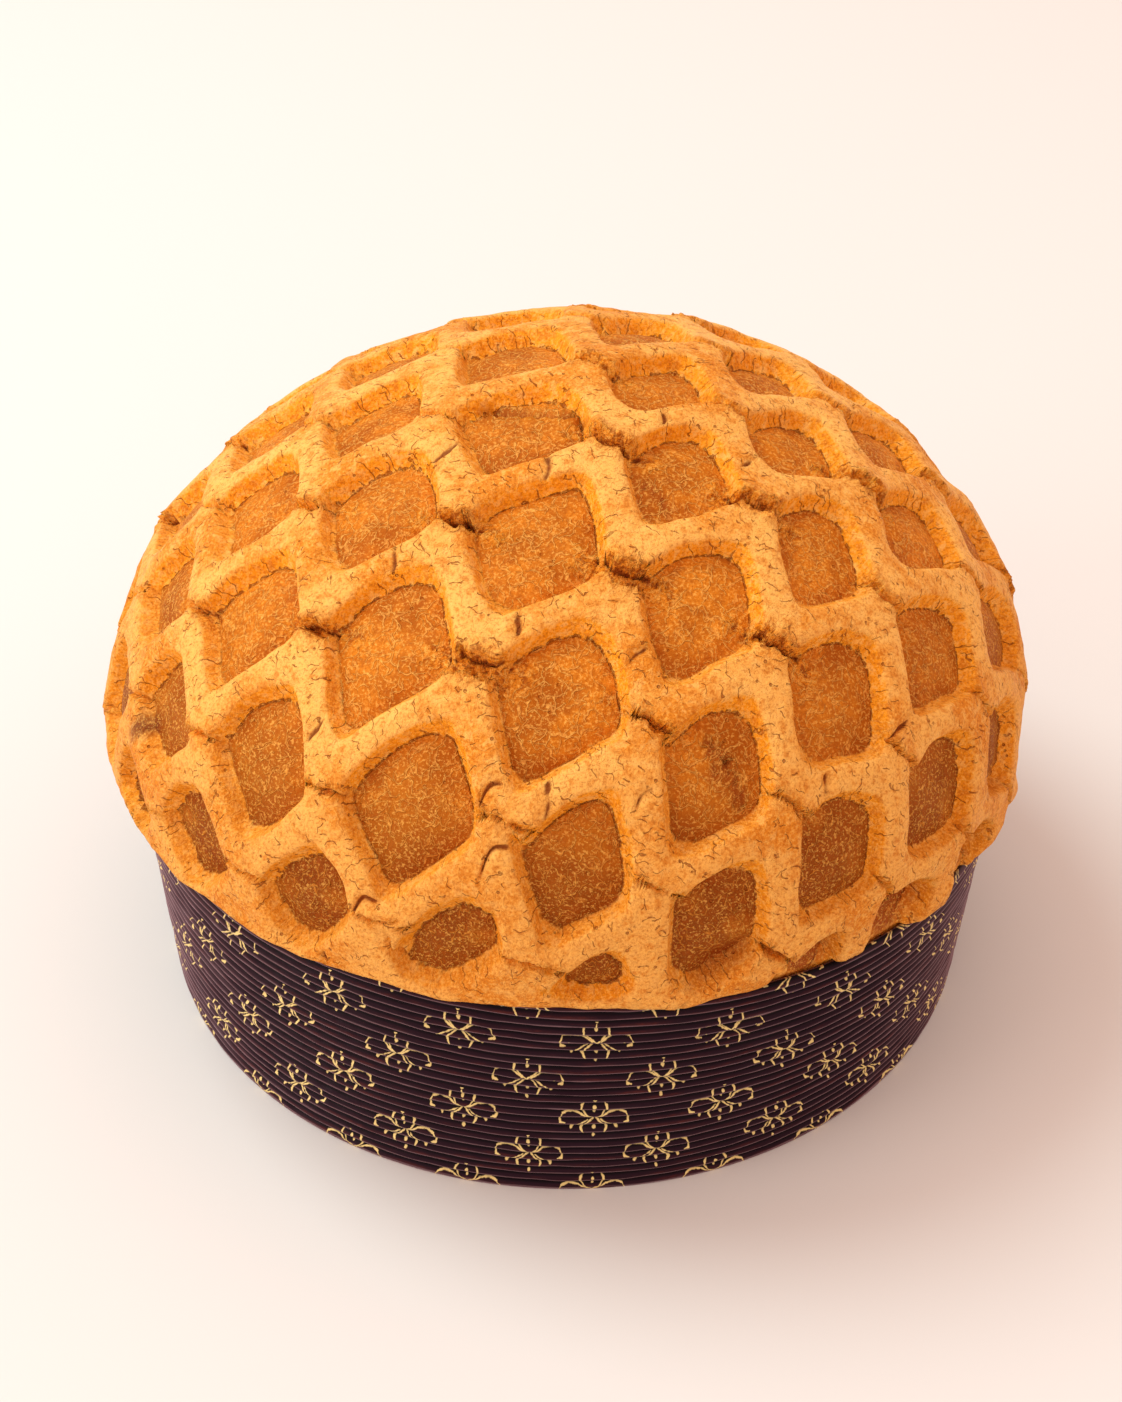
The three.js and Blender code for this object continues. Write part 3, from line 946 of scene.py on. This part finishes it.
def crustMaterial():
    material, tree, shader = newMaterial("crust", **{"IOR": 1.45, "Specular IOR Level": 0.09})
    place = objectPlace(tree)
    tear = attribute(tree, "tear")
    warp = tree.nodes.new("ShaderNodeTexNoise")
    warp.inputs["Scale"].default_value = 460.0
    warp.inputs["Detail"].default_value = 1.0
    tree.links.new(place, warp.inputs["Vector"])
    wander = vectorMaths(tree, "SUBTRACT", warp.outputs["Color"], (0.5, 0.5, 0.5))
    wander = scaledVector(tree, wander, crust["wander"] * mm)
    curly = vectorMaths(tree, "ADD", uvPlace(tree, "flatPlace"), wander)
    strokes = strokeGroup()
    aim, shadeSide = stripSides(tree)
    fibres = fibreMask(tree, strokes, curly)
    slits = slitMask(tree, strokes, curly, aim)

    wobble = noise(tree, place, 600.0, 2.0)
    soft = noise(tree, place, 45.0, 3.0, 0.55)
    patch = noise(tree, place, 75.0, 4.0, 0.62)
    mottle = noise(tree, place, 420.0, 3.0, 0.6)
    grain = noise(tree, place, 1500.0, 2.0, 0.7)
    crumb = noise(tree, place, 560.0, 3.0, 0.6)
    apart = tree.nodes.new("ShaderNodeSeparateXYZ")
    tree.links.new(place, apart.inputs[0])
    # painted shade: the crust is painted darker low down, where less light falls on it
    shadeLowDown = ramp(tree, apart.outputs[2], crust["lowShadeFrom"], crust["lowShadeTo"])

    ragged = maths(tree, "MULTIPLY_ADD", wobble, 0.9, -0.45)
    ragged = maths(tree, "ADD", attribute(tree, "stripDistance"), ragged)
    panelMask = ramp(tree, ragged, 4.45, 5.0)
    # painted shadow: a thin dark broken line at the foot of the strips, mostly on their sides turned from
    # the light; the same mask also sinks the bump there
    lineAway = maths(tree, "ABSOLUTE", maths(tree, "SUBTRACT", ragged, 4.75))
    shadedFootLine = ramp(tree, lineAway, 0.26, 0.06)
    shadedFootLine = maths(tree, "MULTIPLY", shadedFootLine, ramp(tree, wobble, 0.40, 0.50, 0.1, 1.0))
    shadedFootLine = maths(tree, "MULTIPLY", shadedFootLine, maths(tree, "MULTIPLY_ADD", shadeSide, 0.7, 0.15))
    pores = tree.nodes.new("ShaderNodeTexVoronoi")
    pores.inputs["Scale"].default_value = 330.0
    tree.links.new(place, pores.inputs["Vector"])
    pore = ramp(tree, pores.outputs["Distance"], 0.15, 0.08)
    pore = maths(tree, "MULTIPLY", pore, ramp(tree, patch, 0.5, 0.56))
    # painted shade in the slits and pores; the same mask also sinks the bump
    shadedPits = maths(tree, "MAXIMUM", slits, pore)
    shadedPits = maths(tree, "MULTIPLY", shadedPits, maths(tree, "SUBTRACT", 1.0, panelMask))
    shadedPits = maths(tree, "MAXIMUM", shadedPits, maths(tree, "MULTIPLY", pore, 0.6))
    # painted shade in the clefts of the tears and cracks
    cleftShade = maths(tree, "SUBTRACT", attribute(tree, "shadeInCleft"), 0.25)
    cleftShade = ramp(tree, maths(tree, "MULTIPLY_ADD", wobble, 0.5, cleftShade), 0.38, 0.80)

    colour = tint(tree, panelMask, stripColour(tree, soft, mottle, shadeLowDown, shadeSide),
                  panelColour(tree, patch, mottle, shadeLowDown))
    colour = laid(tree, colour, "torn", tear, 0.75)
    crumbMask = maths(tree, "MULTIPLY", tear, ramp(tree, crumb, 0.50, 0.40, 0.0, 0.85))
    colour = laid(tree, colour, "crumbDark", crumbMask)
    crumbMask = maths(tree, "MULTIPLY", tear, ramp(tree, crumb, 0.55, 0.66, 0.0, 0.7))
    colour = laid(tree, colour, "crumbLight", crumbMask)
    # painted shade darkens the creases and the bare recess at the rim
    colour = laid(tree, colour, "creaseShade", attribute(tree, "creaseShade"), 0.85)
    colour = laid(tree, colour, "burnt", attribute(tree, "burnt"), 0.85)
    fibreShare = maths(tree, "MULTIPLY", fibres, maths(tree, "MULTIPLY_ADD", panelMask, 0.22, 0.32))
    fibreTone = laid(tree, crust["fibre"], "fibreShadedLow", maths(tree, "MULTIPLY", shadeLowDown, panelMask))
    colour = tint(tree, fibreShare, colour, fibreTone)
    colour = laid(tree, colour, "shadedFootLine", shadedFootLine, 0.8)
    colour = laid(tree, colour, "shadedPits", shadedPits, 0.7)
    # painted highlight: light specks on the grain
    colour = laid(tree, colour, "grainHighlight", ramp(tree, grain, 0.5, 0.68, 0.0, 0.5))
    colour = laid(tree, colour, "grainDark", ramp(tree, grain, 0.5, 0.32, 0.0, 0.5))
    colour = laid(tree, colour, "cleftShade", cleftShade, 0.85)
    tree.links.new(colour, shader.inputs["Base Color"])
    plug(tree, ramp(tree, patch, 0.3, 0.7, 0.48, 0.64), shader.inputs["Roughness"])

    height = maths(tree, "MULTIPLY", fibres, maths(tree, "MULTIPLY_ADD", panelMask, 0.6, 0.4))
    height = maths(tree, "MULTIPLY_ADD", grain, 0.9, height)
    height = maths(tree, "SUBTRACT", height, maths(tree, "MULTIPLY", shadedPits, 2.2))
    height = maths(tree, "SUBTRACT", height, maths(tree, "MULTIPLY", shadedFootLine, 1.5))
    height = maths(tree, "MULTIPLY_ADD", maths(tree, "MULTIPLY", crumb, tear), 7.0, height)
    height = maths(tree, "MULTIPLY_ADD", noise(tree, place, 800.0, 3.0, 0.7), 1.2, height)
    tree.links.new(bump(tree, height, 0.9, 0.0003), shader.inputs["Normal"])
    return material


loafPiece = finished("loaf_crust", makeLoafMesh(), crustMaterial(), "loaf")
print("loaf done", len(loafPiece.data.vertices), "points")


# the pleated paper wall, in millimetres and radians
wall = {
    "turns": 360,
    "rowsPerFlute": 6,
    "fluteDepth": 0.95,
    "lapThickness": 0.5,   # the glued lap where the ends of the band meet
    "lapStart": 3.07,
    "lapEnd": 3.22,
    "rimBand": 2.0,
    # heights, sizes and seeds of the uneven pleats
    "levelWander": ((0.3, 22.0, 41), (0.14, 7.0, 42)),
    "dents": ((0.35, 30.0, 43),),
    "crinkles": ((0.16, 5.0, 44),),
}


# outline of the wall from the foot up the pleats, over the rim and down inside to the hem
def wallProfile():
    rows = mould["flutes"] * wall["rowsPerFlute"]
    rim = mould["rimHeight"]
    height = np.linspace(0, rim, rows + 1)
    phase = height / rim * mould["flutes"]
    depth = wall["fluteDepth"] * (0.5 + 0.5 * np.cos(2 * math.pi * phase))
    depth = np.maximum(0, depth) ** 1.3
    depth[:2] *= 0.3
    outer = np.stack([crestRadius(height) - depth, height], axis=-1)
    lip = mould["baseRadius"] - mould["lip"]
    hemUnder = mould["hemTop"] - mould["hemPaper"]
    inner = [
        (crestRadius(rim) - mould["paper"], rim),
        (crestRadius(rim) - mould["paper"], rim - wall["rimBand"]),
        (crestRadius(rim / 2) - mould["paper"], rim / 2),
        (crestRadius(mould["hemTop"]) - mould["paper"], mould["hemTop"]),
        (lip - mould["hemWidth"], mould["hemTop"]), (lip - mould["hemWidth"], hemUnder),
        (lip, hemUnder), (lip, 0),
    ]
    crest = np.concatenate([1 - depth / wall["fluteDepth"], np.zeros(len(inner))])
    return np.concatenate([outer, np.array(inner)]), crest, rows + 1


def spinWall(profile):
    bm = bmesh.new()
    rowLayer = bm.verts.layers.int.new("row")
    bmesh.ops.create_circle(bm, segments=len(profile), radius=1.0)
    order = sorted(bm.verts, key=lambda vert: math.atan2(vert.co.y, vert.co.x) % (2 * math.pi))
    for row, vert in enumerate(order):
        vert.co = Vector((0, -profile[row][0], profile[row][1])) * mm
        vert[rowLayer] = row
    bmesh.ops.spin(bm, geom=bm.verts[:] + bm.edges[:], cent=(0, 0, 0), axis=(0, 0, 1), dvec=(0, 0, 0),
                   angle=2 * math.pi, steps=wall["turns"], use_merge=True)
    bmesh.ops.recalc_face_normals(bm, faces=bm.faces[:])
    mesh = bpy.data.meshes.new("mould_wall")
    bm.to_mesh(mesh)
    bm.free()
    return mesh


def makeWallMesh():
    profile, crest, outerRows = wallProfile()
    mesh = spinWall(profile)
    spots = np.empty(len(mesh.vertices) * 3)
    mesh.vertices.foreach_get("co", spots)
    spots = spots.reshape(-1, 3) / mm
    row = np.empty(len(mesh.vertices), dtype=np.int32)
    mesh.attributes["row"].data.foreach_get("value", row)
    turn = np.arctan2(spots[:, 0], -spots[:, 1])
    radius = np.hypot(spots[:, 0], spots[:, 1])
    height = spots[:, 2]
    isOuter = row < outerRows
    isPleat = isOuter & (row > 1) & (row < outerRows - 1)

    sine, cosine = np.sin(turn) * mould["meanRadius"], np.cos(turn) * mould["meanRadius"]
    around = np.stack([sine, cosine, height], axis=-1)
    level = np.stack([sine, cosine, height * 6], axis=-1)
    share = np.clip((height - mould["hemTop"]) / (mould["rimHeight"] - mould["hemTop"]), 0, 1)
    height = height + share * rimOffset(turn)
    height = height + np.where(isPleat, ripples(level, wall["levelWander"]), 0)
    radius = radius + np.where(isOuter, ripples(around, wall["dents"]) * share, 0)
    radius = radius + np.where(isPleat, ripples(level, wall["crinkles"]), 0)
    fullTurn = np.where(turn < 0, turn + 2 * math.pi, turn)
    lap = blendStep(wall["lapStart"] - 0.008, wall["lapStart"], fullTurn)
    lap = lap * blendStep(wall["lapEnd"], wall["lapEnd"] - 0.004, fullTurn)
    radius = radius + np.where(isOuter, wall["lapThickness"] * lap, 0)
    places = np.stack([radius * np.sin(turn), -radius * np.cos(turn), height], axis=-1)
    mesh.vertices.foreach_set("co", (places * mm).ravel())
    layer = mesh.attributes.new("crest", "FLOAT", "POINT")
    layer.data.foreach_set("value", np.where(isOuter, crest[row], 0.3))
    mesh.attributes.remove(mesh.attributes["row"])
    mesh.update()
    return mesh


sprig = {
    "perTurn": 22,
    "firstTurn": 0.077,
    "rowTop": 47.5,
    "rowSpacing": 11.9,
    # one side of a sprig, mirrored about its middle line: from, to and half width at each end
    "strokes": [
        ((0.2, 0.3), (1.7, 1.2), 0.17, 0.17), ((1.7, 1.2), (2.8, 2.5), 0.17, 0.2),
        ((2.8, 2.5), (2.7, 4.0), 0.2, 0.3), ((2.7, 4.0), (2.1, 4.7), 0.3, 0.12),
        ((0.9, 0.5), (3.3, 1.7), 0.2, 0.17), ((3.3, 1.7), (5.6, 2.1), 0.17, 0.3),
        ((5.6, 2.1), (7.2, 1.5), 0.3, 0.2), ((7.2, 1.5), (7.9, 0.2), 0.15, 0.15),
        ((7.9, 0.2), (7.7, -1.1), 0.15, 0.3), ((7.7, -1.1), (6.7, -1.3), 0.3, 0.14),
        ((1.4, -0.7), (4.1, -1.9), 0.12, 0.17), ((4.1, -1.9), (5.2, -3.0), 0.17, 0.36),
        ((0.3, -0.4), (2.2, -1.7), 0.2, 0.17), ((2.2, -1.7), (2.9, -3.1), 0.17, 0.3),
        ((2.9, -3.1), (2.2, -4.6), 0.3, 0.14), ((0, 4.9), (0, 5.5), 0.15, 0.15),
    ],
    "dots": [((0, 3.7), 0.42), ((0, 2.0), 0.3), ((0, 6.2), 0.5), ((0, -3.0), 0.42), ((0, -5.6), 0.38),
             ((5.9, 0.0), 0.22), ((0, 0), 0.3)],
}


# distance in millimetres from a tapered straight stroke
def strokeDistanceGroup():
    group, given, out = newGroup("taperedStroke", [
        ("Spot", "NodeSocketVector", None), ("From", "NodeSocketVector", None),
        ("To", "NodeSocketVector", None), ("Start", "NodeSocketFloat", 0.2),
        ("End", "NodeSocketFloat", 0.2), ("Nearest", "NodeSocketFloat", 9.0),
    ], [("Distance", "NodeSocketFloat")])
    run = vectorMaths(group, "SUBTRACT", given["To"], given["From"])
    reach = vectorMaths(group, "SUBTRACT", given["Spot"], given["From"])
    share = maths(group, "DIVIDE", vectorMaths(group, "DOT_PRODUCT", reach, run),
                  vectorMaths(group, "DOT_PRODUCT", run, run))
    share = maths(group, "MINIMUM", maths(group, "MAXIMUM", share, 0.0), 1.0)
    foot = scaledVector(group, run, share)
    away = vectorMaths(group, "LENGTH", vectorMaths(group, "SUBTRACT", reach, foot))
    taper = maths(group, "SUBTRACT", given["End"], given["Start"])
    half = maths(group, "MULTIPLY_ADD", taper, share, given["Start"])
    away = maths(group, "SUBTRACT", away, half)
    group.links.new(maths(group, "MINIMUM", away, given["Nearest"]), out["Distance"])
    return group


# half-drop rows of a plain printed sprig; Ink is 1 on its lines
def sprigGroup():
    group, given, out = newGroup(
        "sprigPrint", [("Place", "NodeSocketVector", None)], [("Ink", "NodeSocketFloat")])
    apart = group.nodes.new("ShaderNodeSeparateXYZ")
    group.links.new(given["Place"], apart.inputs[0])
    x, y, z = apart.outputs
    turn = maths(group, "ARCTAN2", x, maths(group, "MULTIPLY", y, -1.0))
    lift = maths(group, "COSINE", maths(group, "SUBTRACT", turn, mould["highSide"]))
    lift = maths(group, "MULTIPLY_ADD", lift, mould["rimLift"] / mould["rimHeight"], 1.0)
    height = maths(group, "DIVIDE", maths(group, "DIVIDE", z, mm), lift)
    rows = maths(group, "DIVIDE", maths(group, "SUBTRACT", sprig["rowTop"], height), sprig["rowSpacing"])
    row = maths(group, "ROUND", rows)
    v = maths(group, "MULTIPLY", maths(group, "SUBTRACT", row, rows), sprig["rowSpacing"])
    step = 2 * math.pi / sprig["perTurn"]
    odd = maths(group, "FLOORED_MODULO", row, 2.0)
    columns = maths(group, "DIVIDE", maths(group, "SUBTRACT", turn, sprig["firstTurn"]), step)
    columns = maths(group, "SUBTRACT", columns, maths(group, "MULTIPLY", odd, 0.5))
    u = maths(group, "SUBTRACT", columns, maths(group, "ROUND", columns))
    u = maths(group, "MULTIPLY", u, step * mould["meanRadius"])
    waver = noise(group, given["Place"], 260.0, 1.0)
    u = maths(group, "ABSOLUTE", maths(group, "ADD", u, maths(group, "MULTIPLY_ADD", waver, 0.9, -0.45)))
    spot = group.nodes.new("ShaderNodeCombineXYZ")
    group.links.new(u, spot.inputs[0])
    group.links.new(v, spot.inputs[1])
    strokeDistance = strokeDistanceGroup()
    nearest = 9.0
    for start, end, startHalf, endHalf in sprig["strokes"]:
        nearest = useGroup(group, strokeDistance, Spot=spot.outputs[0], From=(*start, 0), To=(*end, 0),
                           Start=startHalf, End=endHalf, Nearest=nearest)["Distance"]
    for middle, radius in sprig["dots"]:
        away = vectorMaths(group, "LENGTH", vectorMaths(group, "SUBTRACT", spot.outputs[0], (*middle, 0)))
        nearest = maths(group, "MINIMUM", nearest, maths(group, "SUBTRACT", away, radius))
    rough = maths(group, "MULTIPLY_ADD", noise(group, given["Place"], 1500.0, 2.0), 0.4, -0.2)
    group.links.new(ramp(group, maths(group, "ADD", nearest, rough), 0.05, -0.13), out["Ink"])
    return group


paper = {
    "sheen": (0.95, 0.74, 0.82, 1),
    "fold": (0.004, 0.0015, 0.0035, 1),
    "crest": (0.019, 0.0055, 0.012, 1),
    "worn": (0.085, 0.017, 0.016, 1),
    "grazingSheen": (0.27, 0.150, 0.170, 1),
    "ink": (0.88, 0.70, 0.29, 1),
}


def paperMaterial():
    material, tree, shader = newMaterial("printedPaper", **{
        "Sheen Weight": 0.28, "Sheen Roughness": 0.2, "Specular IOR Level": 0.08})
    shader.inputs["Sheen Tint"].default_value = paper["sheen"]
    place = objectPlace(tree)
    crest = attribute(tree, "crest")
    ink = useGroup(tree, sprigGroup(), Place=place)["Ink"]
    streak = noise(tree, place, 60.0, 4.0, 0.6, stretch=(1, 1, 9))
    fleck = noise(tree, place, 420.0, 3.0, 0.65, stretch=(1, 1, 3))
    worn = maths(tree, "MULTIPLY", ramp(tree, crest, 0.55, 0.95), ramp(tree, streak, 0.45, 0.7))
    worn = maths(tree, "MULTIPLY", worn, ramp(tree, fleck, 0.35, 0.7, 0.3, 1.0))
    # painted shade: the pleat valleys (fold) are painted darker than the crests
    colour = tint(tree, ramp(tree, crest, 0.12, 0.7), paper["fold"], paper["crest"])
    colour = tint(tree, worn, colour, paper["worn"])
    # painted sheen: the paper is painted paler at grazing angles
    edge = tree.nodes.new("ShaderNodeLayerWeight")
    edge.inputs["Blend"].default_value = 0.5
    grazingSheen = ramp(tree, edge.outputs["Facing"], 0.20, 0.90, 0.0, 0.82)
    colour = tint(tree, grazingSheen, colour, paper["grazingSheen"])
    # painted shade: the print is also dimmer in the pleat valleys
    inkShare = maths(tree, "MULTIPLY", ink, ramp(tree, crest, 0.0, 0.4, 0.6, 0.95))
    colour = tint(tree, inkShare, colour, paper["ink"])
    tree.links.new(colour, shader.inputs["Base Color"])
    plug(tree, ramp(tree, fleck, 0.3, 0.7, 0.4, 0.58), shader.inputs["Roughness"])
    plug(tree, maths(tree, "MULTIPLY", inkShare, 0.35), shader.inputs["Metallic"])
    height = maths(tree, "MULTIPLY_ADD", fleck, 0.6, streak)
    tree.links.new(bump(tree, height, 0.5, 0.00015), shader.inputs["Normal"])
    return material


wallPiece = finished("mould_wall_paper", makeWallMesh(), paperMaterial(), "mould_wall")
print("mould wall done", len(wallPiece.data.vertices), "points")


# the paper disc under the loaf
board = {
    "sides": 144,
    "softEdge": 0.2,
    "rimBand": 14.0,
    "dark": (0.030, 0.012, 0.017, 1),
    "light": (0.055, 0.022, 0.028, 1),
}


def makeBaseMesh():
    bm = bmesh.new()
    bmesh.ops.create_circle(bm, cap_ends=True, segments=board["sides"], radius=baseHigh.x)
    made = bmesh.ops.extrude_face_region(bm, geom=bm.faces[:])["geom"]
    top = [item for item in made if isinstance(item, bmesh.types.BMVert)]
    bmesh.ops.translate(bm, vec=(0, 0, baseHigh.z), verts=top)
    rims = [edge for edge in bm.edges if len(edge.link_faces) == 2 and edge.calc_face_angle() > 1]
    bmesh.ops.bevel(bm, geom=rims, offset=board["softEdge"] * mm, segments=2, profile=0.5,
                    affect="EDGES", material=-1)
    for face in [face for face in bm.faces if len(face.verts) > 8]:
        bmesh.ops.inset_region(bm, faces=[face], thickness=board["rimBand"] * mm, use_even_offset=True)
    bmesh.ops.recalc_face_normals(bm, faces=bm.faces[:])
    mesh = bpy.data.meshes.new("mould_base")
    bm.to_mesh(mesh)
    bm.free()
    return mesh


def boardMaterial():
    material, tree, shader = newMaterial("basePaper")
    place = objectPlace(tree)
    fleck = noise(tree, place, 420.0, 3.0, 0.65)
    patch = noise(tree, place, 40.0, 3.0)
    colour = tint(tree, ramp(tree, patch, 0.3, 0.7), board["dark"], board["light"])
    tree.links.new(colour, shader.inputs["Base Color"])
    plug(tree, ramp(tree, fleck, 0.3, 0.7, 0.6, 0.8), shader.inputs["Roughness"])
    tree.links.new(bump(tree, fleck, 0.4, 0.0001), shader.inputs["Normal"])
    return material


basePiece = finished("mould_base_board", makeBaseMesh(), boardMaterial(), "mould_base")
print("mould base done", len(basePiece.data.vertices), "points")
